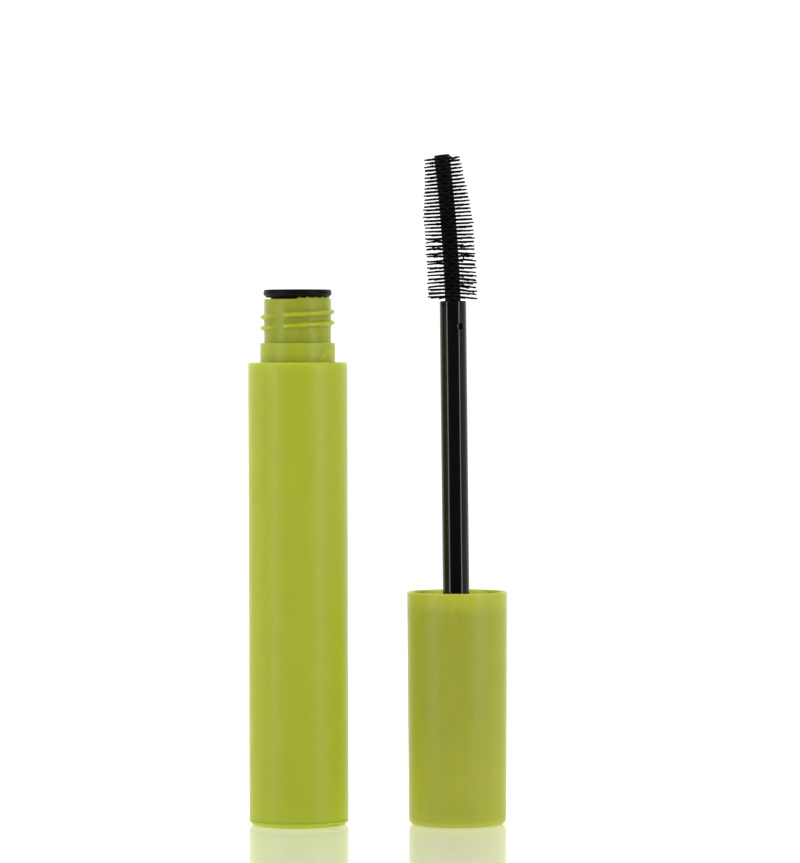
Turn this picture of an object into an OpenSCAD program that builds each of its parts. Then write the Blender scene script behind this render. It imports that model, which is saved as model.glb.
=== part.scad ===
// Mascara tube, open: the bottle stands upright and its applicator stands beside it on the
// closed end of its cap, brush upward. Millimetres, +Z up, origin at the centre of the
// bottle's base. The applicator's axis is at X = stand_off.

/* [Bottle] */
// Outer diameter of the body
body_d = 17; // [16:0.1:20]
// Height from the table to the shoulder
body_h = 79.25; // [70:0.05:95]
// Wall thickness of the body
body_wall = 1.2; // [0.8:0.1:1.5]
// Thickness of the floor
floor_t = 2; // [1.5:0.1:3]
// Radius round the foot
foot_round = 1; // [0.5:0.1:1.4]
// Radius round the shoulder
shoulder_round = 0.4; // [0.2:0.1:0.6]
// Diameter of the collar below the thread
collar_d = 12.85; // [12.6:0.05:13]
// Height of the collar
collar_h = 3.3; // [3:0.1:3.6]
// Outer diameter of the neck
neck_d = 11.47; // [11.2:0.01:11.6]
// Height of the neck above the collar
neck_h = 7.51; // [7.5:0.01:8.5]
// Bore of the neck
neck_bore = 9; // [9:0.1:9.6]

/* [Thread and stop] */
// Diameter over the thread
thread_d = 12.75; // [12.5:0.01:12.8]
// Rise of the thread in one turn
pitch = 1.86; // [1.8:0.01:2]
// Height of the thread's lower end above the collar
thread_start = 2.4; // [2.4:0.05:2.8]
// Width of the gaps in the thread, in degrees
thread_gap = 27; // [10:1:40]
// How far the stop lug stands out of the collar
lug_out = 0.3; // [0.2:0.05:0.4]
// Height of the stop lug
lug_h = 2.2; // [2:0.05:2.5]

/* [Cap] */
// Outer diameter at the rim
cap_rim_d = 17.15; // [17:0.05:18]
// Outer diameter at the closed end
cap_end_d = 16.7; // [16.6:0.05:17]
// Height of the cap
cap_h = 39.9; // [39:0.1:45]
// Wall thickness at the rim
cap_wall = 0.6; // [0.5:0.05:0.65]
// Thickness of the closed end
cap_end_t = 1.5; // [1:0.1:2]
// Depth of the seal's face below the rim
seal_depth = 12.35; // [12.2:0.05:12.4]
// Depth of the inner cap's edge below the rim
inner_depth = 2.6; // [2.5:0.1:3]

/* [Applicator] */
// Distance from the bottle's axis to the applicator's axis
stand_off = 27.2; // [20:0.1:60]
// Diameter of the stem
stem_d = 4.6; // [4.3:0.05:4.6]
// Height of the stem's free end above the table
stem_top = 89.7; // [85:0.05:95]
// Lean of the stem from the cap's axis, in degrees
stem_lean = 0.5; // [0:0.01:0.6]
// Diameter of the brush core
core_d = 2.7; // [2.4:0.1:2.8]
// Length of the brush core beyond the stem
core_l = 24.8; // [22:0.1:28]
// Radius of the bend of the brush core
core_bend = 308; // [250:1:2000]
// Lean of the brush core where it leaves the stem, in degrees
core_lean = 1.9; // [0.5:0.1:2.5]
// Reach of the longest bristles from the core's centre
bristle_reach = 4.2; // [3.6:0.1:4.4]
// Reach of the bristles at the tip of the brush
tip_reach = 2.95; // [2.6:0.05:3.6]
// Rings of bristles along the core
bristle_rings = 13; // [8:1:20]
// Bristles in one ring
ring_count = 12; // [6:1:14]

/* [Hidden] */
$fn = 64;

// Gap between pressed-together pieces, and the running gap of the washer on its hub
fit = 0.01;
running_gap = 0.05;

// Bottle levels and radii
collar_top = body_h + collar_h;
neck_top = collar_top + neck_h;
cavity_r = body_d / 2 - body_wall;
cavity_round = 3;
bore_bottom = body_h + 0.1;
cavity_top = bore_bottom - (cavity_r - neck_bore / 2);

// Thread: a right-hand helix that starts 120 degrees to the left of the front
thread_from = -120;
thread_turn = 600;
thread_flank = 1.05;
thread_crest = 0.36;
thread_embed = 0.35;
degrees_per_step = 6;
gap_from = -50;

// Stop lug: steep on its right side, with a round ramp on its left
lug_w = 3.35;
lug_ramp = 2.1;
lug_middle = 51.5;
lug_stop = lug_middle + asin(lug_w / collar_d);

// Wiper
flange_d = 11.75;
flange_top_d = 11.4;
flange_t = 1.35;
flange_lift = 0.28;
flange_bevel = 0.55;
seat_d = 9.2;
wiper_mouth_r = 4;
wiper_sleeve_r = 3.75;
orifice_r = 2.5;
orifice_land = 2;
wiper_tip = body_h - 4.6;
wiper_top = neck_top + flange_lift + flange_t;

// Cap shell: straight draft inside and out
cap_in_rim_r = cap_rim_d / 2 - cap_wall;
cap_in_end_r = cap_in_rim_r - 0.3;
cap_round = 1;
stay_top = 14;
stay_count = 8;
stay_t = 0.9;

// Inner cap
inner_top = cap_h - inner_depth;
seal_face = cap_h - seal_depth;
washer_t = 1;
washer_d = 12.6;
ceiling_top = seal_face - washer_t;
ceiling_t = 1.8;
inner_d = 15;
inner_bore = 13.1;
inner_thread_d = 11.75;
inner_thread_flank = 0.9;
inner_thread_crest = 0.3;
inner_thread_from = -132;
inner_thread_turn = 480;
inner_lug_turn = 22;
inner_lug_out = 1.4;

// Screwed home, a height h in the cap is at closed_height - h on the bottle, and the angle t
// to the right of the bottle's front is 270 - t round the cap from +X
closed_height = wiper_top + seal_face;

// Hub, ribs and webs of the inner cap
hub_d = 7;
hub_top = seal_face + 1.4;
hub_bottom = 21.2;
hub_recess = 0.6;
rib_count = 12;
rib_w = 0.8;
web_count = 4;
web_t = 1;
web_l = (inner_bore - hub_d) / 2 + 0.6;

// Stem
tail_flange_d = 6;
tail_flange_t = 1.2;
tail_l = 8;
tail_d = 2.3;
stem_round = 0.25;
stem_l = stem_top - hub_bottom;
pin_d = 1;
pin_below = 4.35;
pin_turn = 32;
pin_sink = 0.12;

// Bristles
bristle_root_r = 0.16;
bristle_tip_r = 0.08;
bristle_embed = 0.15;
first_ring = 1.4;
last_ring = core_l - 0.75;
taper_l = 11;

// Turns a child from the front (-Y) through an angle to the right
module azimuth(angle) {
    rotate([0, 0, angle - 90])
        children();
}

// Half section of a disc with a rounded lower and upper outer edge
module disc_profile(r, h, low, high) {
    difference() {
        square([r, h]);
        if (low > 0)
            translate([r - low, 0])
                difference() {
                    square([low + 1, low]);
                    translate([0, low])
                        circle(low);
                }
        if (high > 0)
            translate([r - high, h - high])
                difference() {
                    square([high + 1, high + 1]);
                    circle(high);
                }
    }
}

// One corner of a thread ridge's section at the angle t along it: radius and height
function ridge_point(section, t, rise) = [
    section[0] * cos(t), section[0] * sin(t), section[1] + rise * t / 360
];

// A thread ridge of n section corners swept from one angle to another
module ridge(sections, from, to, rise) {
    steps = max(2, ceil((to - from) / degrees_per_step));
    corners = len(sections);
    points = [
        for (i = [0:steps], c = [0:corners - 1])
            ridge_point(sections[c], from + (to - from) * i / steps, rise)
    ];
    sides = [
        for (i = [0:steps - 1], c = [0:corners - 1])
            let (a = i * corners + c, b = i * corners + (c + 1) % corners)
                [a, b, b + corners, a + corners]
    ];
    first_end = [for (c = [corners - 1:-1:0]) c];
    last_end = [for (c = [0:corners - 1]) steps * corners + c];
    polyhedron(points, concat([first_end], sides, [last_end]), convexity = 6);
}

// Section of a ridge on a wall of radius r, its width there flank, its foot sunk in the wall
function ridge_section(r, crest_r, flank, crest, embed) =
    let (foot_r = r + (r - crest_r) / abs(r - crest_r) * embed)
    let (foot = flank + (flank - crest) * embed / abs(crest_r - r))
    [[foot_r, -foot / 2], [crest_r, -crest / 2], [crest_r, crest / 2], [foot_r, foot / 2]];

// The neck's ridge, broken by two gaps in each turn
module neck_thread() {
    section = ridge_section(neck_d / 2, thread_d / 2, thread_flank, thread_crest, thread_embed);
    breaks = [for (i = [0:3]) gap_from + 180 * i];
    starts = concat([thread_from], [for (b = breaks) b + thread_gap]);
    ends = concat(breaks, [thread_from + thread_turn]);
    translate([0, 0, collar_top + thread_start - pitch * thread_from / 360])
        azimuth(0)
            for (i = [0:len(starts) - 1])
                if (ends[i] > starts[i])
                    ridge(section, starts[i], ends[i], pitch);
}

// Lug that stops the cap's turn
module stop_lug() {
    translate([0, 0, body_h - 0.2])
        intersection() {
            difference() {
                cylinder(h = lug_h + 0.2, r = collar_d / 2 + lug_out);
                cylinder(h = lug_h + 0.2, r = collar_d / 2 - 0.4);
            }
            azimuth(lug_middle)
                rotate([90, 0, 90])
                    linear_extrude(collar_d)
                        translate([-lug_w / 2, 0])
                            difference() {
                                square([lug_w, lug_h + 0.2]);
                                translate([0, lug_h + 0.2 - lug_ramp])
                                    difference() {
                                        translate([-1, 0])
                                            square([lug_ramp + 1, lug_ramp + 1]);
                                        translate([lug_ramp, 0])
                                            circle(lug_ramp);
                                    }
                            }
        }
}

module bottle() {
    notch_w = 2.8;
    notch_h = 0.5;
    notch_depth = 0.7;
    color([0.62, 0.66, 0.2])
        difference() {
            union() {
                rotate_extrude()
                    disc_profile(body_d / 2, body_h, foot_round, shoulder_round);
                translate([0, 0, body_h - 0.5])
                    rotate_extrude()
                        disc_profile(collar_d / 2, collar_h + 0.5, 0, 0.15);
                translate([0, 0, collar_top - 0.5])
                    rotate_extrude()
                        disc_profile(neck_d / 2, neck_h + 0.5, 0, 0.15);
                neck_thread();
                stop_lug();
            }
            translate([0, 0, floor_t])
                rotate_extrude()
                    disc_profile(cavity_r, cavity_top - floor_t, cavity_round, 0);
            translate([0, 0, cavity_top])
                cylinder(h = bore_bottom - cavity_top, r1 = cavity_r, r2 = neck_bore / 2);
            translate([0, 0, bore_bottom - 0.01])
                cylinder(h = neck_top - bore_bottom + 1, d = neck_bore);
            azimuth(50)
                translate([body_d / 2 - notch_depth, -notch_w / 2, -1])
                    cube([notch_depth + 1, notch_w, notch_h + 1]);
        }
}

module wiper() {
    sleeve_out = neck_bore / 2 - fit;
    flange_low = neck_top + flange_lift;
    orifice_top = wiper_tip + orifice_land;
    color([0.06, 0.06, 0.06])
        rotate_extrude()
            polygon([
                [wiper_mouth_r, wiper_top],
                [flange_top_d / 2, wiper_top],
                [flange_d / 2, flange_low + flange_bevel],
                [flange_d / 2 - flange_bevel, flange_low],
                [seat_d / 2, flange_low],
                [seat_d / 2, neck_top],
                [sleeve_out, neck_top],
                [sleeve_out, bore_bottom - 0.2],
                [sleeve_out + 0.3, bore_bottom - 0.7],
                [sleeve_out - 0.2, bore_bottom - 1.3],
                [orifice_r + 0.6, wiper_tip],
                [orifice_r, wiper_tip],
                [orifice_r, orifice_top],
                [wiper_sleeve_r, orifice_top + 3.5]
            ]);
}

// Taper that the shell's inside and the inner cap's ribs share, smaller by a gap
module cap_inside(gap) {
    translate([0, 0, cap_end_t])
        cylinder(h = cap_h - cap_end_t, r1 = cap_in_end_r - gap, r2 = cap_in_rim_r - gap);
}

module cap_shell() {
    draft = (cap_rim_d - cap_end_d) / 2;
    color([0.64, 0.68, 0.22])
        translate([stand_off, 0, 0])
            union() {
                difference() {
                    rotate_extrude()
                        difference() {
                            polygon([[0, 0], [cap_end_d / 2, 0], [cap_end_d / 2 + draft, cap_h], [0, cap_h]]);
                            translate([cap_end_d / 2 - cap_round, 0])
                                difference() {
                                    translate([0, -1])
                                        square([cap_round + 1, cap_round + 1]);
                                    translate([0, cap_round])
                                        circle(cap_round);
                                }
                        }
                    cap_inside(0);
                    translate([0, 0, cap_h - 0.01])
                        cylinder(h = 1, r = cap_in_rim_r);
                }
                for (i = [0:stay_count - 1])
                    rotate([0, 0, 360 * i / stay_count])
                        translate([cap_in_end_r - 2, -stay_t / 2, cap_end_t - 0.2])
                            cube([2.2, stay_t, stay_top - cap_end_t + 0.2]);
            }
}

// Inner thread, which lies half a pitch below the neck's ridge when the cap is screwed home
module inner_thread() {
    section = ridge_section(
        inner_bore / 2, inner_thread_d / 2, inner_thread_flank, inner_thread_crest, thread_embed
    );
    neck_ridge_at_right = collar_top + thread_start + pitch * (90 - thread_from) / 360;
    translate([0, 0, closed_height - neck_ridge_at_right])
        ridge(
            [for (i = [3:-1:0]) section[i]],
            inner_thread_from, inner_thread_from + inner_thread_turn, pitch
        );
}

// Lug on the inner cap's edge that meets the bottle's stop lug
module inner_lug() {
    from = 270 - lug_stop - 1 - inner_lug_turn;
    rotate([0, 0, from])
        rotate_extrude(angle = inner_lug_turn)
            translate([inner_bore / 2 + 0.1, inner_top - 0.3])
                square([(inner_d - inner_bore) / 2 - 0.2, inner_lug_out + 0.3]);
}

module inner_cap() {
    color([0.6, 0.64, 0.2])
        translate([stand_off, 0, 0])
            difference() {
                union() {
                    difference() {
                        union() {
                            translate([0, 0, stay_top])
                                cylinder(h = inner_top - stay_top, d = inner_d);
                            intersection() {
                                cap_inside(fit);
                                for (i = [0:rib_count - 1])
                                    rotate([0, 0, 360 * i / rib_count])
                                        translate([inner_d / 2 - 0.4, -rib_w / 2, stay_top])
                                            cube([2, rib_w, inner_top - stay_top]);
                            }
                        }
                        translate([0, 0, ceiling_top])
                            cylinder(h = inner_top, d = inner_bore);
                        translate([0, 0, stay_top - 1])
                            cylinder(h = ceiling_top - ceiling_t - stay_top + 1, d = inner_bore);
                    }
                    translate([0, 0, hub_bottom - hub_recess])
                        cylinder(h = hub_top - hub_bottom + hub_recess, d = hub_d);
                    for (i = [0:web_count - 1])
                        rotate([0, 0, 45 + 360 * i / web_count])
                            translate([hub_d / 2 - 0.3, -web_t / 2, hub_bottom + 0.3])
                                cube([web_l, web_t, ceiling_top - ceiling_t - hub_bottom]);
                    inner_thread();
                    inner_lug();
                }
                stem_form(fit);
            }
}

module seal_washer() {
    color([0.85, 0.85, 0.82])
        translate([stand_off, 0, ceiling_top])
            difference() {
                cylinder(h = washer_t, d = washer_d);
                translate([0, 0, -1])
                    cylinder(h = washer_t + 2, d = hub_d + 2 * running_gap);
            }
}

// Leans a child with the stem, about the top of the stem's tail flange
module on_stem() {
    rotate([0, -stem_lean, 0])
        children();
}

// Outside of the stem and its tail flange, grown by a gap, on the cap's axis
module stem_form(gap) {
    translate([0, 0, hub_bottom])
        on_stem()
            union() {
                translate([0, 0, -tail_flange_t])
                    cylinder(h = tail_flange_t + gap, d = tail_flange_d + 2 * gap);
                rotate_extrude()
                    disc_profile(stem_d / 2 + gap, stem_l, 0, stem_round);
            }
}

module stem() {
    color([0.03, 0.03, 0.03])
        translate([stand_off, 0, 0])
            difference() {
                stem_form(0);
                translate([0, 0, hub_bottom])
                    on_stem() {
                        translate([0, 0, stem_l - tail_l - fit])
                            cylinder(h = tail_l + 1, d = tail_d + 2 * fit);
                        translate([0, 0, stem_l - pin_below])
                            azimuth(pin_turn)
                                rotate([0, 90, 0])
                                    cylinder(h = stem_d, d = pin_d);
                    }
            }
}

// Places a child at a distance along the bent core, with +Z along the core
module on_core(along) {
    turn = along / core_bend * 180 / PI;
    stem_end_x = -stem_l * sin(stem_lean);
    stem_end_z = hub_bottom + stem_l * cos(stem_lean);
    bend_x = stem_end_x - core_bend * cos(core_lean);
    bend_z = stem_end_z - core_bend * sin(core_lean);
    translate([bend_x, 0, bend_z])
        rotate([0, -core_lean - turn, 0])
            translate([core_bend, 0, 0])
                children();
}

module brush_core() {
    start = 0.05;
    start_turn = start / core_bend * 180 / PI;
    full_turn = core_l / core_bend * 180 / PI;
    tip_t = 0.3;
    tip_step = 0.04;
    color([0.05, 0.05, 0.05])
        translate([stand_off, 0, 0])
            union() {
                on_core(0)
                    translate([-core_bend, 0, 0])
                        rotate([90, 0, 0])
                            rotate([0, 0, start_turn])
                                rotate_extrude(angle = full_turn - start_turn, $fn = 2400)
                                    translate([core_bend, 0])
                                        circle(core_d / 2, $fn = 64);
                on_core(core_l)
                    translate([0, 0, -tip_t])
                        rotate_extrude()
                            disc_profile(core_d / 2 - tip_step, 2 * tip_t, 0, tip_t);
                translate([0, 0, hub_bottom])
                    on_stem() {
                        translate([0, 0, stem_l - tail_l])
                            cylinder(h = tail_l + 0.4, d = tail_d);
                        translate([0, 0, stem_l - pin_below])
                            azimuth(pin_turn)
                                rotate([0, 90, 0])
                                    cylinder(h = stem_d / 2 - pin_sink, d = pin_d - 2 * fit);
                    }
            }
}

// Reach of a bristle from the core's centre, at a distance back from the tip of the brush
function reach(back) = tip_reach + (bristle_reach - tip_reach) * min(1, back / taper_l);

module bristles() {
    root = core_d / 2 - bristle_embed;
    spacing = (last_ring - first_ring) / (bristle_rings - 1);
    color([0.08, 0.08, 0.08])
        translate([stand_off, 0, 0])
            for (ring = [0:bristle_rings - 1])
                for (i = [0:ring_count - 1])
                    on_core(first_ring + ring * spacing)
                        rotate([0, 0, (i + (ring % 2) / 2) * 360 / ring_count])
                            translate([root, 0, 0])
                                rotate([0, 90, 0])
                                    cylinder(
                                        h = reach(core_l - first_ring - ring * spacing) - root,
                                        r1 = bristle_root_r, r2 = bristle_tip_r, $fn = 16
                                    );
}

bottle();
wiper();
cap_shell();
inner_cap();
seal_washer();
stem();
brush_core();
bristles();
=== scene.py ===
"""An open mascara: satin green bottle with its wiper, and the applicator standing on its cap.

Lengths inside the shape functions are millimetres; MM turns them into the scene's metres.
The bottle's axis is the row's Z axis, and angles are measured from the front (-Y) to the right.
"""

import math
import random

import bpy
from mathutils import Matrix, Vector


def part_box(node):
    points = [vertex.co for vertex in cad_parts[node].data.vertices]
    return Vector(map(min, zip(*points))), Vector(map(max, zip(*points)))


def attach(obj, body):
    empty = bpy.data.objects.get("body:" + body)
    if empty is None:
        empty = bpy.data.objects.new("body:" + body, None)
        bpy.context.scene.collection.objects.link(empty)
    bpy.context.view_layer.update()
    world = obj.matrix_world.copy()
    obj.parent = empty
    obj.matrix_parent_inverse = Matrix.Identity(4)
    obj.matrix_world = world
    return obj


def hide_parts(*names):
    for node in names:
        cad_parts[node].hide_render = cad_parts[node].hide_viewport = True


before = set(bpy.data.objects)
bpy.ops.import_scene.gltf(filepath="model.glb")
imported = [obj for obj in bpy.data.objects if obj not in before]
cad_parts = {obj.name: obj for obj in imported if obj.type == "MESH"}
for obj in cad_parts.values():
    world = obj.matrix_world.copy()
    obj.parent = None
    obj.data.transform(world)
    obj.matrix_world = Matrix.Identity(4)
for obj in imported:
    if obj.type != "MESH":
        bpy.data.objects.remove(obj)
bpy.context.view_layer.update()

MM = 0.001

# ---------------------------------------------------------------- sizes from the frame, in mm


def node_box(name):
    """Lowest and highest corner of a CAD node, in millimetres."""
    low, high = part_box(name)
    return low / MM, high / MM


BOTTLE_HIGH = node_box("bottle")[1]
WIPER_LOW, WIPER_HIGH = node_box("wiper")
CAP_LOW, CAP_HIGH = node_box("cap_shell")

BODY_R = BOTTLE_HIGH.x
NECK_TOP = BOTTLE_HIGH.z
WIPER_TOP = WIPER_HIGH.z
WIPER_TIP = WIPER_LOW.z
CAP_X = (CAP_LOW.x + CAP_HIGH.x) / 2
CAP_RIM_R = (CAP_HIGH.x - CAP_LOW.x) / 2
CAP_H = CAP_HIGH.z

# Bottle
WALL = 1.2
FLOOR_T = 2.0
FOOT_ROUND = 1.0
COLLAR_H = 3.3
NECK_H = 7.51
COLLAR_TOP = NECK_TOP - NECK_H
SHOULDER = COLLAR_TOP - COLLAR_H
SHOULDER_ROUND = 0.4
COLLAR_R = 6.425
NECK_R = 5.735
BORE_R = 4.5
BORE_BOTTOM = SHOULDER + 0.1
CAVITY_ROUND = 3.0

# Thread: where it starts and ends in degrees, its section, and the two gaps in each turn
THREAD_PITCH = 1.86
THREAD_FROM, THREAD_TO = -120.0, 480.0
THREAD_START = COLLAR_TOP + 2.4
THREAD_H = 0.64
THREAD_HALF = 0.54
THREAD_FLANK = 0.72
THREAD_END_FADE = 8
GAP_FROM, GAP_WIDTH = -46.0, 23.0
GAP_FADE_IN, GAP_FADE_OUT = 12.0, 4.5

# Stop lug on the collar: a curved ramp on its left, a rounded corner on its right
LUG_OUT = 0.3
LUG_H = 2.2
LUG_LEFT, LUG_RIGHT = 36.5, 66.5
LUG_RAMP = 18.0
LUG_CORNER = 3.5
LUG_CORNER_DROP = 0.4
LUG_LEFT_EDGE, LUG_RIGHT_EDGE = 2, 1.2
LUG_TOP_EDGE = 0.22

# Parting line on the neck
SEAM_AT = 64.0
SEAM_HALF = 1.5
SEAM_OUT = 0.09
SEAM_FROM = COLLAR_TOP + 0.3

# Moulding flash on the neck's rim: its middle, its two ends from there, and its waves, each
# with a count in a turn, a phase and a weight
FLASH_AT, FLASH_LEFT, FLASH_RIGHT = 43, -42, 34
FLASH_FADE = 3
FLASH_H, FLASH_UNEVEN = 0.1, 0.26
FLASH_FROM = NECK_TOP - 0.02
FLASH_WAVES = ((23, 0.3, 1.0), (61, 1.7, 0.7), (113, 4.1, 0.6), (197, 2.6, 0.4))

# Notch at the foot
NOTCH_AT, NOTCH_HALF = 50.0, 9.5
NOTCH_H = 0.5
NOTCH_DEPTH = 0.7
NOTCH_IN = 7.0
NOTCH_SIDE = 1.2
NOTCH_EDGE = 0.12

# Wiper
FLANGE_GAP = 0.28
FLANGE_R = 5.875
FLANGE_TOP_R = 5.72
FLANGE_FOOT_R = 5.33
FLANGE_SIDE = 0.58
BEAD_OUT = 0.3
MOUTH_R = 4.0
FUNNEL_R = 3.75
FUNNEL_H = 3.5
LIP_R = 2.5
LIP_OUTER_R = 3.05
LIP_H = 2.0

# Cap
CAP_END_R = 8.35
CAP_WALL = 0.6
CAP_END_T = 1.5
CAP_ROUND = 1.0
CAP_DRAFT_IN = 0.3
STAY_COUNT = 8
STAY_BOTTOM = CAP_END_T + 0.7
STAY_TOP = 14.0
STAY_T = 0.9
STAY_IN = 1.8
STAY_EDGE = 0.4

# Stem
STEM_R = 2.3
STEM_TOP = 89.7
STEM_LEAN = math.radians(0.5)
STEM_ROUND = 0.25
HUB_BOTTOM = 21.2
TAIL_R = 3.0
TAIL_T = 1.2
STEM_L = STEM_TOP - HUB_BOTTOM
SOCKET_R = 1.16
SOCKET_DEPTH = 8
PIN_R = 0.5
PIN_BELOW = 4.35
PIN_AT = 32.0
PIN_DEEP = 0.6
PIN_EDGE = 0.16
PIN_ROWS_HALF, PIN_ROW_STEP = 0.6, 0.05
PIN_TURN_HALF, PIN_TURN_STEP = 16, 1.3

# Brush
CORE_R = 1.35
CORE_L = 25.08
CORE_BEND = 308.0
CORE_LEAN = math.radians(1.9)
CORE_TAIL = 0.4
CORE_TIP_ROUND = 0.22
CORE_SIDES = 40
CORE_STEPS = 60
RINGS = 39
RING_COUNT = 12
FIRST_RING, LAST_RING = 0.75, 24.45
RING_LEAN_FROM, RING_LEAN_MORE = -2.0, 8.5
REACH = 4.17
TIP_REACH = 2.92
TAPER_L = 11.0
BRISTLE_START = 0.95
BRISTLE_ROOT_R = 0.19
BRISTLE_TIP_R = 0.14
BRISTLE_TAPER = 0.8
BRISTLE_STEPS = 9

# The bristles near the stem droop and are less even than the rest
DROOP = math.radians(4)
DROOP_L = 13.0
WILDER = 1.5
TURN_SPREAD = 0.02
REACH_SPREAD = 0.012
BEND_SPREAD = 0.007

# Clumps of dried product: side (-1 left, 1 right), distance along the core, half its length,
# and distance from the core's axis
CLUMPS = (
    (-1, 10.6, 0.5, 2.9), (-1, 9.3, 0.55, 2.9), (-1, 8.0, 0.6, 2.8), (-1, 6.7, 0.6, 2.5),
    (-1, 5.7, 0.4, 2.6), (1, 9.0, 0.5, 2.3), (1, 8.1, 0.5, 2.7), (1, 7.3, 0.5, 2.4),
    (-1, 1.4, 0.35, 2.3), (1, 1.6, 0.4, 3.6), (1, 24.0, 0.45, 2.0), (-1, 23.3, 0.4, 2.0),
)
CLUMP_FACING = 0.6
CLUMP_MARGIN = 0.1
CLUMP_PULL = 0.4
CLUMP_SPLAY = 0.6
LUMP_TURNS = (-0.35, 0.05)

ARC_STEP = math.radians(15)


# ---------------------------------------------------------------- outlines and turned meshes


def rounded(corners, closed=True):
    """Outline through corners (radius, height, rounding), each corner cut by an arc."""
    out = []
    count = len(corners)
    for i, (x, y, rounding) in enumerate(corners):
        here = Vector((x, y))
        if rounding == 0 or (not closed and i in (0, count - 1)):
            out.append(here)
            continue
        before = (Vector(corners[i - 1][:2]) - here).normalized()
        after = (Vector(corners[(i + 1) % count][:2]) - here).normalized()
        half = before.angle(after) / 2
        centre = here + (before + after).normalized() * (rounding / math.sin(half))
        reach = rounding / math.tan(half)
        start = here + before * reach - centre
        end = here + after * reach - centre
        turn = math.atan2(start.x * end.y - start.y * end.x, start.dot(end))
        steps = max(2, math.ceil(abs(turn) / ARC_STEP))
        for step in range(steps + 1):
            a = turn * step / steps
            out.append(centre + Vector((
                start.x * math.cos(a) - start.y * math.sin(a),
                start.x * math.sin(a) + start.y * math.cos(a),
            )))
    return out


def refined(outline, low, high, step, inner=0.0):
    """The same outline, with points at most step apart where it lies between two heights."""
    out = []
    for here, there in zip(outline, outline[1:] + outline[:1]):
        out.append(here)
        inside = min(here.y, there.y) >= low - 1e-6 and max(here.y, there.y) <= high + 1e-6
        if inside and min(here.x, there.x) > inner:
            pieces = math.ceil((there - here).length / step)
            out.extend(here.lerp(there, k / pieces) for k in range(1, pieces))
    return out


def even_angles(count, fine=()):
    """Angles round a turn in degrees, with finer steps in the given (from, to, step) ranges."""
    angles = {round(360 * k / count, 4) for k in range(count)}
    for start, end, step in fine:
        k = start
        while k <= end:
            angles.add(round(k % 360, 4))
            k += step
    ordered = sorted(angles)
    return [a for a, b in zip(ordered, ordered[1:] + [ordered[0] + 360]) if b - a > 0.05]


def mesh_object(name, points, faces, smooth_angle=40):
    """A smooth-shaded mesh object from points in millimetres, sharp only at hard edges."""
    mesh = bpy.data.meshes.new(name)
    mesh.from_pydata([Vector(p) * MM for p in points], [], faces)
    mesh.validate()
    mesh.update()
    obj = bpy.data.objects.new(name, mesh)
    bpy.context.scene.collection.objects.link(obj)
    bpy.ops.object.select_all(action="DESELECT")
    obj.select_set(True)
    bpy.context.view_layer.objects.active = obj
    bpy.ops.object.shade_smooth_by_angle(angle=math.radians(smooth_angle))
    return obj


def turned(name, outline, angles, centre=(0, 0), shape=None, place=None):
    """A closed solid turned from an outline (radius, height), with poles where it meets the axis.

    shape(radius, height, angle) moves points for ridges, lugs and notches; place moves all
    finished points, for a solid whose axis leans."""
    points, rows = [], []
    for p in outline:
        if p.x < 1e-6:
            rows.append([len(points)])
            points.append((0, 0, p.y))
            continue
        rows.append(list(range(len(points), len(points) + len(angles))))
        for a in angles:
            r, z = shape(p.x, p.y, a) if shape else (p.x, p.y)
            points.append((r * math.sin(math.radians(a)), -r * math.cos(math.radians(a)), z))
    faces = []
    closed = len(rows[0]) > 1
    count = len(angles)
    pairs = list(zip(rows, rows[1:] + (rows[:1] if closed else [])))
    if not closed:
        pairs = pairs[: len(rows) - 1]
    for low, high in pairs:
        for k in range(count):
            n = (k + 1) % count
            if len(low) == 1:
                faces.append((low[0], high[n], high[k]))
            elif len(high) == 1:
                faces.append((low[k], low[n], high[0]))
            else:
                faces.append((low[k], low[n], high[n], high[k]))
    if place:
        points = [place(Vector(p)) for p in points]
    return mesh_object(name, [(p[0] + centre[0], p[1] + centre[1], p[2]) for p in points], faces)


def smoothstep(t):
    """0 below 0, 1 above 1, and a smooth rise between."""
    t = min(1.0, max(0.0, t))
    return t * t * (3 - 2 * t)


def quarter_round(share):
    """Height of a quarter circle at a share of its width, both from 0 to 1."""
    share = min(1.0, max(0.0, share))
    return math.sqrt(1 - (1 - share) ** 2)


def between(value, low, high, soft):
    """1 between low and high, falling smoothly to 0 over soft on each side."""
    return smoothstep((value - low) / soft + 0.5) * smoothstep((high - value) / soft + 0.5)


def around(angle, centre):
    """Signed difference of two angles in degrees, from -180 to 180."""
    return (angle - centre + 180) % 360 - 180


# ---------------------------------------------------------------- bottle


def thread_height(z, angle):
    """How far the thread's ridge stands out of the neck at a height and an angle."""
    best = 0.0
    for turn in range(-1, 3):
        t = around(angle, 0) + 360 * turn
        middle = THREAD_START + THREAD_PITCH * (t - THREAD_FROM) / 360
        across = abs(z - middle) / THREAD_HALF
        if across >= 1:
            continue
        along = between(t, THREAD_FROM, THREAD_TO, THREAD_END_FADE)
        to_gap = (t - GAP_FROM + 90) % 180 - 90
        gap = smoothstep(to_gap / GAP_FADE_IN + 0.5)
        gap *= smoothstep((GAP_WIDTH - to_gap) / GAP_FADE_OUT + 0.5)
        along *= 1 - gap
        best = max(best, smoothstep((1 - across) / THREAD_FLANK) * along)
    return THREAD_H * best


def lug_height(z, angle):
    """How far the stop lug stands out of the collar."""
    t = around(angle, 0)
    top = SHOULDER + LUG_H * quarter_round((t - LUG_LEFT) / LUG_RAMP)
    top -= LUG_CORNER_DROP * (1 - quarter_round((LUG_RIGHT - t) / LUG_CORNER))
    side = smoothstep((t - LUG_LEFT) / LUG_LEFT_EDGE)
    side *= smoothstep((LUG_RIGHT - t) / LUG_RIGHT_EDGE)
    return LUG_OUT * side * smoothstep((top - z) / LUG_TOP_EDGE)


def seam_line(angle, centre):
    """Narrow ridge of the mould's parting line, 1 at its middle."""
    return max(0.0, 1 - abs(around(angle, centre)) / SEAM_HALF)


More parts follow.
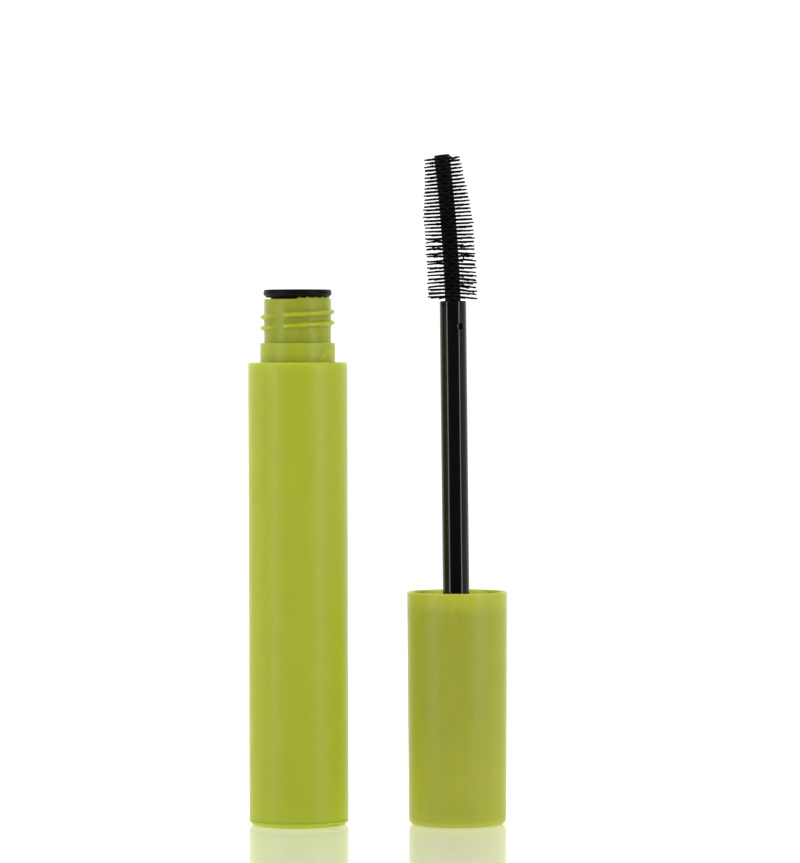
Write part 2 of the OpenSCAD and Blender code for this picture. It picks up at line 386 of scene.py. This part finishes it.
def lip_noise(angle):
    """Uneven height of the moulding flash on the neck's rim, around 0.5."""
    total = sum(w * math.sin(math.radians(angle) * n + phase) for n, phase, w in FLASH_WAVES)
    return 0.5 + 0.7 * total / sum(w for _, _, w in FLASH_WAVES)


def bottle_shape(r, z, angle):
    """Thread, stop lug, foot notch, parting line and rim flash on the turned bottle."""
    outside = r > (BORE_R + NECK_R) / 2
    if outside and z > SEAM_FROM:
        r += thread_height(z, angle)
        r += SEAM_OUT * (seam_line(angle, SEAM_AT) + seam_line(angle, SEAM_AT - 180))
    if outside and z > FLASH_FROM:
        ends = between(around(angle, FLASH_AT), FLASH_LEFT, FLASH_RIGHT, FLASH_FADE)
        z += (FLASH_H + FLASH_UNEVEN * lip_noise(angle)) * ends
    if r > COLLAR_R - 0.05 and SHOULDER < z < COLLAR_TOP:
        r += lug_height(z, angle)
    if r > NOTCH_IN and z < NOTCH_H + NOTCH_EDGE:
        depth = between(around(angle, NOTCH_AT), -NOTCH_HALF, NOTCH_HALF, NOTCH_SIDE)
        depth *= smoothstep((NOTCH_H - z) / NOTCH_EDGE + 0.5)
        r = min(r, r + (BODY_R - NOTCH_DEPTH - r) * depth)
    return r, z


def make_bottle():
    """The vial: rounded foot, long body, stepped neck with thread, and its hollow inside."""
    cavity_r = BODY_R - WALL
    cavity_top = BORE_BOTTOM - (cavity_r - BORE_R)
    foot_top = NOTCH_H + 0.4
    outline = rounded([
        (0, 0, 0), (NOTCH_IN, 0, 0), (BODY_R, 0, FOOT_ROUND), (BODY_R, foot_top, 0),
        (BODY_R, SHOULDER, SHOULDER_ROUND), (COLLAR_R, SHOULDER, 0.12), (COLLAR_R, COLLAR_TOP, 0.14),
        (NECK_R, COLLAR_TOP, 0.15), (NECK_R, NECK_TOP, 0.12), (BORE_R, NECK_TOP, 0.1),
        (BORE_R, BORE_BOTTOM, 0.5), (cavity_r, cavity_top, 1.0), (cavity_r, FLOOR_T, CAVITY_ROUND),
        (0, FLOOR_T, 0),
    ], closed=False)
    off = 0.1
    outline = refined(outline, COLLAR_TOP + off, NECK_TOP - off, 0.07, inner=BORE_R + off)
    outline = refined(outline, SHOULDER + off, COLLAR_TOP - off, 0.08, inner=BORE_R + off)
    outline = refined(outline, 0, foot_top, 0.1, inner=NOTCH_IN - off)
    outline = refined(outline, foot_top, SHOULDER, 6.0, inner=BODY_R - off)
    gap_to = GAP_FROM + GAP_WIDTH
    notch_left = NOTCH_AT - NOTCH_HALF
    notch_right = NOTCH_AT + NOTCH_HALF
    fine = (
        (GAP_FROM - 6, GAP_FROM + 6, 0.75), (gap_to - 4, gap_to + 4, 0.75),
        (LUG_LEFT - 1, LUG_LEFT + 8, 0.75), (LUG_RIGHT - 3, LUG_RIGHT + 1, 0.4),
        (notch_left - NOTCH_SIDE, notch_left + NOTCH_SIDE, 0.3),
        (notch_right - NOTCH_SIDE, notch_right + NOTCH_SIDE, 0.3),
        (SEAM_AT - SEAM_HALF, SEAM_AT + SEAM_HALF, 0.5),
    )
    return turned("bottle_body", outline, even_angles(240, fine), shape=bottle_shape)


def make_wiper():
    """The wiper: bevelled flange on the neck, sleeve, snap bead, funnel and wiping lip."""
    flange_low = NECK_TOP + FLANGE_GAP
    sleeve = BORE_R - 0.01
    seat = BORE_R + 0.1
    bead = BORE_BOTTOM
    lip_top = WIPER_TIP + LIP_H
    outline = rounded([
        (MOUTH_R, WIPER_TOP, 0.2), (FLANGE_TOP_R, WIPER_TOP, 0.16),
        (FLANGE_R, flange_low + FLANGE_SIDE, 0.12), (FLANGE_FOOT_R, flange_low, 0.12),
        (seat, flange_low, 0.05), (seat, NECK_TOP, 0.03), (sleeve, NECK_TOP - 0.02, 0),
        (sleeve, bead - 0.2, 0.1), (sleeve + BEAD_OUT, bead - 0.7, 0.1),
        (sleeve - 0.2, bead - 1.3, 0.1), (LIP_OUTER_R, WIPER_TIP, 0.12), (LIP_R, WIPER_TIP, 0.12),
        (LIP_R, lip_top, 0.3), (FUNNEL_R, lip_top + FUNNEL_H, 0.8),
    ])
    return turned("wiper_insert", outline, even_angles(144))


# ---------------------------------------------------------------- cap


def cap_shape(r, z, angle):
    """The stays that stand inside the lower part of the cap's wall and carry the inner cap."""
    if STAY_BOTTOM < z < STAY_TOP and r < CAP_RIM_R - CAP_WALL:
        between_stays = 360 / STAY_COUNT
        off = abs((angle + between_stays / 2) % between_stays - between_stays / 2)
        half = math.degrees(STAY_T / 2 / (r - STAY_IN))
        r -= STAY_IN * smoothstep((half - off) / STAY_EDGE + 0.5)
    return r, z


def make_cap():
    """The outer cap, open end up: thin rounded rim, slight draft, rounded closed end."""
    inside_rim = CAP_RIM_R - CAP_WALL
    inside_end = inside_rim - CAP_DRAFT_IN
    stay_r = inside_end + (inside_rim - inside_end) * (STAY_TOP - CAP_END_T) / (CAP_H - CAP_END_T)
    outline = rounded([
        (0, 0, 0), (CAP_END_R, 0, CAP_ROUND), (CAP_RIM_R, CAP_H, 0.18), (inside_rim, CAP_H, 0.2),
        (stay_r, STAY_TOP, 0), (stay_r, STAY_TOP - 0.05, 0), (inside_end, CAP_END_T, 0.6),
        (0, CAP_END_T, 0),
    ], closed=False)
    outline = refined(outline, CAP_ROUND, CAP_H, 4.0, inner=inside_end - 0.1)
    stay_half = math.degrees(STAY_T / 2 / (inside_end - STAY_IN))
    edges = [360 * k / STAY_COUNT + side * stay_half for k in range(STAY_COUNT) for side in (-1, 1)]
    fine = [(edge - STAY_EDGE, edge + STAY_EDGE, 0.1) for edge in edges]
    return turned("cap_outer", outline, even_angles(192, fine), centre=(CAP_X, 0), shape=cap_shape)


# ---------------------------------------------------------------- stem and brush


def on_stem(point):
    """A point given along the stem's own axis, from the hub's lower face, in the applicator."""
    leaning = Matrix.Rotation(-STEM_LEAN, 3, "Y") @ Vector(point)
    return leaning + Vector((0, 0, HUB_BOTTOM))


def stem_shape(r, z, angle):
    """The small round dimple of the pin hole near the stem's free end."""
    if r < STEM_R - 0.3:
        return r, z
    across = math.radians(around(angle, PIN_AT)) * STEM_R
    off = math.hypot(across, z - (STEM_L - PIN_BELOW))
    return r - PIN_DEEP * smoothstep((PIN_R - off) / PIN_EDGE + 0.5), z


def make_stem():
    """The rod: flange at the tail, a long plain shaft, and a round-edged end with its socket."""
    outline = rounded([
        (0, -TAIL_T, 0), (TAIL_R, -TAIL_T, 0.15), (TAIL_R, 0, 0.15), (STEM_R, 0, 0.1),
        (STEM_R, STEM_L, STEM_ROUND), (SOCKET_R, STEM_L, 0.06),
        (SOCKET_R, STEM_L - SOCKET_DEPTH, 0.1), (0, STEM_L - SOCKET_DEPTH, 0),
    ], closed=False)
    free_end = next(k for k, p in enumerate(outline) if p.y > STEM_L - 2 * STEM_ROUND)
    pin_from = STEM_L - PIN_BELOW - PIN_ROWS_HALF
    row_count = round(2 * PIN_ROWS_HALF / PIN_ROW_STEP) + 1
    rows = [Vector((STEM_R, pin_from + PIN_ROW_STEP * k)) for k in range(row_count)]
    outline = outline[:free_end] + rows + outline[free_end:]
    fine = ((PIN_AT - PIN_TURN_HALF, PIN_AT + PIN_TURN_HALF, PIN_TURN_STEP),)
    return turned("stem_rod", outline, even_angles(96, fine), centre=(CAP_X, 0),
                  shape=stem_shape, place=on_stem)


def core_place(along):
    """Point and direction of the bent core at a distance from the stem's end."""
    start = on_stem((0, 0, STEM_L))
    lean = CORE_LEAN + along / CORE_BEND
    x = start.x - CORE_BEND * (math.cos(CORE_LEAN) - math.cos(lean))
    z = start.z + CORE_BEND * (math.sin(lean) - math.sin(CORE_LEAN))
    return Vector((x, 0, z)), lean


def ring_lean(along):
    """Lean of the plane in which a ring of bristles stands; it turns more than the core."""
    return math.radians(RING_LEAN_FROM + RING_LEAN_MORE * along / CORE_L)


def frame_at(along, lean):
    """Matrix that places a frame on the core's axis, its Z leaning by the given angle."""
    point, _ = core_place(along)
    turn = Matrix.Rotation(-lean, 4, "Y")
    return Matrix.Translation(point + Vector((CAP_X, 0, 0))) @ turn


def add_tube_faces(faces, base, rows, sides):
    """Adds the side faces between rows of points, and the two flat ends."""
    for row in range(rows - 1):
        a = base + row * sides
        b = a + sides
        for k in range(sides):
            n = (k + 1) % sides
            faces.append((a + k, a + n, b + n, b + k))
    last = base + (rows - 1) * sides
    faces.append(tuple(range(base + sides - 1, base - 1, -1)))
    faces.append(tuple(range(last, last + sides)))


def make_core():
    """The core: a bent rod with a flat, round-edged tip, its foot just inside the stem."""
    straight = CORE_L - 0.35
    sections = [(-CORE_TAIL, CORE_R)]
    sections += [(0.05 + straight * k / CORE_STEPS, CORE_R) for k in range(CORE_STEPS + 1)]
    for k in range(1, 7):
        a = math.pi / 2 * k / 6
        sections.append((CORE_L - CORE_TIP_ROUND + CORE_TIP_ROUND * math.sin(a),
                         CORE_R - CORE_TIP_ROUND + CORE_TIP_ROUND * math.cos(a)))
    points, faces = [], []
    for along, radius in sections:
        _, lean = core_place(along)
        place = frame_at(along, lean)
        for k in range(CORE_SIDES):
            a = 2 * math.pi * k / CORE_SIDES
            points.append(place @ Vector((radius * math.cos(a), radius * math.sin(a), 0)))
    add_tube_faces(faces, 0, len(sections), CORE_SIDES)
    return mesh_object("brush_core_rod", points, faces, smooth_angle=50)


def reach_at(back):
    """Reach of the bristles from the core's centre, at a distance back from the brush's tip."""
    return TIP_REACH + (REACH - TIP_REACH) * min(1.0, back / TAPER_L)


def clump_pull(along, angle, r, reach):
    """How far a clump draws a bristle along the core, at a distance r from the axis."""
    for side, centre, half, gather_r in CLUMPS:
        faces_clump = side * math.cos(angle) >= CLUMP_FACING
        if not faces_clump or abs(along - centre) > half + CLUMP_MARGIN:
            continue
        if r < gather_r:
            share = smoothstep((r - CORE_R) / (gather_r - CORE_R))
        else:
            share = 1 - CLUMP_SPLAY * (r - gather_r) / (reach - gather_r + 0.1)
        return CLUMP_PULL * (centre - along) * share
    return 0.0


def bristle_path(ring, index, rng):
    """Points along one bristle, from inside the core to its tip, and its radii."""
    along = FIRST_RING + (LAST_RING - FIRST_RING) * ring / (RINGS - 1)
    place = frame_at(along, ring_lean(along))
    near_stem = max(0.0, 1 - along / DROOP_L)
    wild = 1.0 + WILDER * near_stem
    angle = 2 * math.pi * (index + 0.5 * (ring % 2)) / RING_COUNT + rng.gauss(0, TURN_SPREAD)
    reach = reach_at(CORE_L - along) * (1 + rng.gauss(0, REACH_SPREAD))
    lift = rng.gauss(0, BEND_SPREAD) * wild - DROOP * near_stem
    curl = rng.gauss(0, BEND_SPREAD) * wild
    out = []
    for k in range(BRISTLE_STEPS + 1):
        t = k / BRISTLE_STEPS
        r = BRISTLE_START + (reach - BRISTLE_START) * t
        rise = (lift * t + curl * t * t) * reach + clump_pull(along, angle, r, reach)
        point = place @ Vector((r * math.cos(angle), r * math.sin(angle), rise))
        radius = BRISTLE_ROOT_R + (BRISTLE_TIP_R - BRISTLE_ROOT_R) * t ** BRISTLE_TAPER
        out.append((point, radius))
    return out


def add_tube(points, faces, path, sides=8):
    """Adds a round, closed tube along a path of (point, radius), with its far end bevelled."""
    not_along = Vector((0.3, 0.2, 1))
    axis = (path[-1][0] - path[0][0]).normalized()
    side = axis.cross(not_along).normalized()
    up = axis.cross(side)
    tip, tip_r = path[-1]
    rings = list(path) + [(tip + axis * tip_r * 0.7, tip_r * 0.6)]
    base = len(points)
    for centre, radius in rings:
        for k in range(sides):
            a = 2 * math.pi * k / sides
            points.append(centre + (side * math.cos(a) + up * math.sin(a)) * radius)
    add_tube_faces(faces, base, len(rings), sides)


def add_lump(points, faces, place, middle, radii, rng, around_n=10, up_n=6):
    """Adds a small uneven closed lump at a point of a placed frame."""
    base = len(points)
    waves = [rng.uniform(0, 2 * math.pi) for _ in range(3)]

    def at(turn, rise):
        swell = 1 + 0.14 * math.sin(2 * turn + waves[0])
        swell += 0.12 * math.sin(3 * rise + turn + waves[1])
        flat = math.cos(rise)
        return place @ (middle + Vector((
            radii[0] * swell * flat * math.cos(turn),
            radii[1] * swell * flat * math.sin(turn),
            radii[2] * (math.sin(rise) + 0.1 * flat * math.sin(turn + waves[2])),
        )))

    points.append(at(0, -math.pi / 2))
    for row in range(1, up_n):
        rise = -math.pi / 2 + math.pi * row / up_n
        for k in range(around_n):
            points.append(at(2 * math.pi * k / around_n, rise))
    points.append(at(0, math.pi / 2))
    top = len(points) - 1
    for k in range(around_n):
        n = (k + 1) % around_n
        faces.append((base, base + 1 + n, base + 1 + k))
        for row in range(up_n - 2):
            a = base + 1 + row * around_n
            faces.append((a + k, a + n, a + around_n + n, a + around_n + k))
        last = top - around_n
        faces.append((last + k, last + n, top))


def make_bristles():
    """All the bristles: staggered rings of thin tapered rods, with dried product between some."""
    rng = random.Random(11)
    points, faces = [], []
    for ring in range(RINGS):
        for index in range(RING_COUNT):
            add_tube(points, faces, bristle_path(ring, index, rng))
    for side, along, half, gather_r in CLUMPS:
        place = frame_at(along, ring_lean(along))
        for turn in LUMP_TURNS:
            r = gather_r + rng.uniform(-0.3, 0.3)
            middle = Vector((side * r * math.cos(turn), r * math.sin(turn), rng.uniform(-0.1, 0.1)))
            radii = (rng.uniform(0.1, 0.17), rng.uniform(0.15, 0.25), half * rng.uniform(0.35, 0.7))
            add_lump(points, faces, place, middle, radii, rng)
    return mesh_object("bristle_rows", points, faces, smooth_angle=60)


# ---------------------------------------------------------------- materials

GREEN = (0.50, 0.568, 0.0285)
CAP_GREEN = (0.49, 0.53, 0.042)
BLACK = (0.003, 0.003, 0.003)


def new_material(name):
    """A fresh node material and its Principled shader."""
    material = bpy.data.materials.new(name)
    material.use_nodes = True
    shader = material.node_tree.nodes["Principled BSDF"]
    return material, shader


def noise(tree, scale, detail):
    """A noise texture in the object's own coordinates, its scale in waves per metre."""
    coords = tree.nodes.new("ShaderNodeTexCoord")
    texture = tree.nodes.new("ShaderNodeTexNoise")
    texture.inputs["Scale"].default_value = scale
    texture.inputs["Detail"].default_value = detail
    tree.links.new(coords.outputs["Object"], texture.inputs["Vector"])
    return texture


def ramp(tree, source, low, high):
    """A two-colour ramp driven by a texture's value."""
    node = tree.nodes.new("ShaderNodeValToRGB")
    node.color_ramp.elements[0].position = 0.3
    node.color_ramp.elements[1].position = 0.7
    node.color_ramp.elements[0].color = (*low, 1)
    node.color_ramp.elements[1].color = (*high, 1)
    tree.links.new(source.outputs["Fac"], node.inputs["Fac"])
    return node


def vary_roughness(tree, shader, source, low, high):
    """Roughness that drifts between two values with a texture."""
    span = tree.nodes.new("ShaderNodeMapRange")
    span.inputs["To Min"].default_value = low
    span.inputs["To Max"].default_value = high
    tree.links.new(source.outputs["Fac"], span.inputs["Value"])
    tree.links.new(span.outputs["Result"], shader.inputs["Roughness"])


def add_bump(tree, shader, source, distance, strength=1.0):
    """Fine relief from a texture; distance is in metres."""
    bump = tree.nodes.new("ShaderNodeBump")
    bump.inputs["Strength"].default_value = strength
    bump.inputs["Distance"].default_value = distance
    tree.links.new(source.outputs["Fac"], bump.inputs["Height"])
    tree.links.new(bump.outputs["Normal"], shader.inputs["Normal"])


def shade_above(tree, colour, height, soft, share):
    """Paints shade into a colour above a height, over a soft edge; both are in millimetres."""
    coords = tree.nodes.new("ShaderNodeTexCoord")
    split = tree.nodes.new("ShaderNodeSeparateXYZ")
    span = tree.nodes.new("ShaderNodeMapRange")
    scaled = tree.nodes.new("ShaderNodeVectorMath")
    scaled.operation = "SCALE"
    span.inputs["From Min"].default_value = (height - soft / 2) * MM
    span.inputs["From Max"].default_value = (height + soft / 2) * MM
    span.inputs["To Min"].default_value = 1.0
    span.inputs["To Max"].default_value = share
    tree.links.new(coords.outputs["Object"], split.inputs["Vector"])
    tree.links.new(split.outputs["Z"], span.inputs["Value"])
    tree.links.new(colour, scaled.inputs[0])
    tree.links.new(span.outputs["Result"], scaled.inputs["Scale"])
    return scaled.outputs["Vector"]


def green_plastic(name, colour, depth, painted_shade_above, soft, share):
    """Satin moulded plastic, translucent to a depth in metres, with shade painted into its colour
    above a height, where other parts stand behind its wall.
    """
    material, shader = new_material(name)
    tree = material.node_tree
    cloud = noise(tree, 260, 2)
    darker = tuple(c * 0.985 for c in colour)
    cloudy = ramp(tree, cloud, darker, colour).outputs["Color"]
    # Painted shade: the colour is darkened above a height, in place of the shade cast by the parts
    # behind the translucent wall.
    shaded = shade_above(tree, cloudy, painted_shade_above, soft, share)
    tree.links.new(shaded, shader.inputs["Base Color"])
    vary_roughness(tree, shader, cloud, 0.36, 0.42)
    shader.inputs["Subsurface Weight"].default_value = 1.0
    shader.inputs["Subsurface Radius"].default_value = (1.0, 1.0, 0.7)
    shader.inputs["Subsurface Scale"].default_value = depth
    shader.inputs["IOR"].default_value = 1.47
    add_bump(tree, shader, noise(tree, 9000, 2), 0.000004, 0.5)
    return material


def black_plastic(name, rough, gloss, grain, relief):
    """Black moulded plastic or rubber, its grain in waves per metre and its relief in metres."""
    material, shader = new_material(name)
    tree = material.node_tree
    cloud = noise(tree, 700, 3)
    lighter = tuple(c * 1.25 for c in BLACK)
    tree.links.new(ramp(tree, cloud, BLACK, lighter).outputs["Color"], shader.inputs["Base Color"])
    vary_roughness(tree, shader, cloud, rough * 0.9, rough * 1.1)
    shader.inputs["Specular IOR Level"].default_value = gloss
    add_bump(tree, shader, noise(tree, grain, 3), relief, 0.6)
    return material


def pale_foam(name):
    """Off-white closed-cell foam of the washer."""
    material, shader = new_material(name)
    tree = material.node_tree
    cells = noise(tree, 6000, 4)
    colours = ramp(tree, cells, (0.62, 0.61, 0.56), (0.8, 0.79, 0.74))
    tree.links.new(colours.outputs["Color"], shader.inputs["Base Color"])
    vary_roughness(tree, shader, cells, 0.75, 0.9)
    add_bump(tree, shader, cells, 0.00004)
    return material


def dress(piece, material):
    """Gives a piece its only material."""
    piece.data.materials.clear()
    piece.data.materials.append(material)


# ---------------------------------------------------------------- pieces


def build_pieces():
    """Makes each visible piece, puts it on its body and hides the CAD node it stands for."""
    # Painted shade on the bottle's neck: darker above the collar, where the black wiper sleeve
    # stands behind the thin wall.
    bottle_green = green_plastic(
        "bottle_green", GREEN, depth=0.0038, painted_shade_above=COLLAR_TOP - 0.6, soft=2.2, share=0.79)
    # Painted shade on the cap: darker above the stays, where the inner cap stands behind the wall;
    # the inner cap shares this material and its painted shade.
    cap_green = green_plastic(
        "cap_green", CAP_GREEN, depth=0.0026, painted_shade_above=STAY_TOP, soft=12.0, share=0.92)
    stem_black = black_plastic("stem_gloss", rough=0.1, gloss=0.34, grain=1500, relief=4e-7)
    wiper_black = black_plastic("wiper_satin", rough=0.45, gloss=0.1, grain=4000, relief=6e-6)
    core_black = black_plastic("core_satin", rough=0.5, gloss=0.12, grain=5000, relief=1e-5)
    bristle_black = black_plastic("bristle_satin", rough=0.5, gloss=0.15, grain=9000, relief=4e-6)
    plan = (
        (make_bottle(), "bottle", "bottle", bottle_green, "bottle_plastic"),
        (make_wiper(), "bottle", "wiper", wiper_black, "wiper_elastomer"),
        (make_cap(), "applicator", "cap_shell", cap_green, "cap_plastic"),
        (make_stem(), "applicator", "stem", stem_black, "stem_plastic"),
        (make_core(), "applicator", "brush_core", core_black, "brush_plastic"),
        (make_bristles(), "applicator", "bristles", bristle_black, "bristle_plastic"),
    )
    for piece, body, node, material, slot in plan:
        dress(piece, material)
        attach(piece, body)
        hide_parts(node)
    kept = (
        ("inner_cap", cap_green, "inner_cap_plastic"),
        ("seal_washer", pale_foam("washer_foam"), "washer_foam"),
    )
    for node, material, slot in kept:
        dress(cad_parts[node], material)


# ---------------------------------------------------------------- floor, light and camera

# Light of the surround, as shares of full white, against a direction's Y (the camera's side
# is -1) and against its Z
FULL_WHITE = 1.56
WALL_LIGHT = (
    (-1, 0.035), (-0.52, 0.045), (-0.4, 0.38), (0.1, 0.41),
    (0.45, 0.56), (0.75, 0.95), (0.97, 0.8), (1, 0.74),
)
CEILING_LIGHT = ((-1, 0), (0.25, 0), (0.6, 0.25), (1, 0.25))
TABLE_GLOW = 0.44
TABLE_HALF = 6.0

# Camera: its place in millimetres, its lens in millimetres and its two small tilts
CAMERA_AT = (17.485, -770.8, 79.6)
CAMERA_LENS = 187.7
CAMERA_PITCH = math.radians(-0.91)
CAMERA_ROLL = math.radians(-0.15)


def make_floor():
    """A glossy, softly glowing white table that runs far beyond the object."""
    turns = ((-1, -1), (1, -1), (1, 1), (-1, 1))
    corners = [(x * TABLE_HALF, y * TABLE_HALF, 0) for x, y in turns]
    mesh = bpy.data.meshes.new("floor")
    mesh.from_pydata(corners, [], [(0, 1, 2, 3)])
    floor = bpy.data.objects.new("floor", mesh)
    bpy.context.scene.collection.objects.link(floor)
    material, shader = new_material("white_table")
    shader.inputs["Base Color"].default_value = (0.8, 0.8, 0.8, 1)
    shader.inputs["Roughness"].default_value = 0.0
    shader.inputs["IOR"].default_value = 1.5
    shader.inputs["Coat Weight"].default_value = 0.85
    shader.inputs["Coat Roughness"].default_value = 0.0
    shader.inputs["Emission Color"].default_value = (1, 1, 1, 1)
    shader.inputs["Emission Strength"].default_value = TABLE_GLOW
    mesh.materials.append(material)


def light_ramp(tree, source, stops):
    """Share of full white against a direction's component, from (component, share) stops."""
    span = tree.nodes.new("ShaderNodeMapRange")
    span.inputs["From Min"].default_value = -1
    tree.links.new(source, span.inputs["Value"])
    node = tree.nodes.new("ShaderNodeValToRGB")
    elements = node.color_ramp.elements
    for extra in stops[2:]:
        elements.new((extra[0] + 1) / 2)
    for element, (component, share) in zip(elements, stops):
        element.position = (component + 1) / 2
        element.color = (share, share, share, 1)
    tree.links.new(span.outputs["Result"], node.inputs["Fac"])
    return node.outputs["Color"]


def make_world():
    """White backdrop, dim ceiling, grey side walls and a dark room behind the camera."""
    world = bpy.data.worlds.new("studio")
    bpy.context.scene.world = world
    world.use_nodes = True
    tree = world.node_tree
    background = tree.nodes["Background"]
    coords = tree.nodes.new("ShaderNodeTexCoord")
    split = tree.nodes.new("ShaderNodeSeparateXYZ")
    tree.links.new(coords.outputs["Generated"], split.inputs["Vector"])
    walls = light_ramp(tree, split.outputs["Y"], WALL_LIGHT)
    ceiling = light_ramp(tree, split.outputs["Z"], CEILING_LIGHT)
    brightest = tree.nodes.new("ShaderNodeMath")
    brightest.operation = "MAXIMUM"
    tree.links.new(walls, brightest.inputs[0])
    tree.links.new(ceiling, brightest.inputs[1])
    tree.links.new(brightest.outputs["Value"], background.inputs["Color"])
    background.inputs["Strength"].default_value = FULL_WHITE


def strip_light(name, turn, distance, width, height, power):
    """A tall soft box, turned in degrees from the front to the right, facing the object."""
    light = bpy.data.lights.new(name, "AREA")
    light.shape = "RECTANGLE"
    light.size = width
    light.size_y = height
    light.energy = power
    lamp = bpy.data.objects.new(name, light)
    a = math.radians(turn)
    middle = Vector((CAP_X * MM / 2, 0, 0.05))
    lamp.location = middle + Vector((math.sin(a) * distance, -math.cos(a) * distance, 0.1))
    lamp.visible_camera = False
    lamp.rotation_euler = (middle - lamp.location).to_track_quat("-Z", "Y").to_euler()
    bpy.context.scene.collection.objects.link(lamp)


def make_camera():
    """A long lens, almost level, in front of the gap between bottle and applicator."""
    data = bpy.data.cameras.new("camera")
    data.sensor_width = 36.0
    data.lens = CAMERA_LENS
    data.clip_start = 0.01
    data.clip_end = 50
    camera = bpy.data.objects.new("camera", data)
    camera.location = Vector(CAMERA_AT) * MM
    level = Matrix.Rotation(math.radians(90) + CAMERA_PITCH, 4, "X")
    camera.rotation_euler = (level @ Matrix.Rotation(CAMERA_ROLL, 4, "Z")).to_euler()
    bpy.context.scene.collection.objects.link(camera)
    bpy.context.scene.camera = camera


def set_stage():
    """Floor, surround, two tall soft boxes and the camera."""
    make_floor()
    make_world()
    strip_light("strip_left", turn=-55.5, distance=0.9, width=0.15, height=1.4, power=3.7)
    strip_light("strip_right", turn=53, distance=0.9, width=0.17, height=1.4, power=4.3)
    make_camera()
    settings = bpy.context.scene.view_settings
    settings.view_transform = "Standard"
    settings.look = "None"


set_stage()
build_pieces()
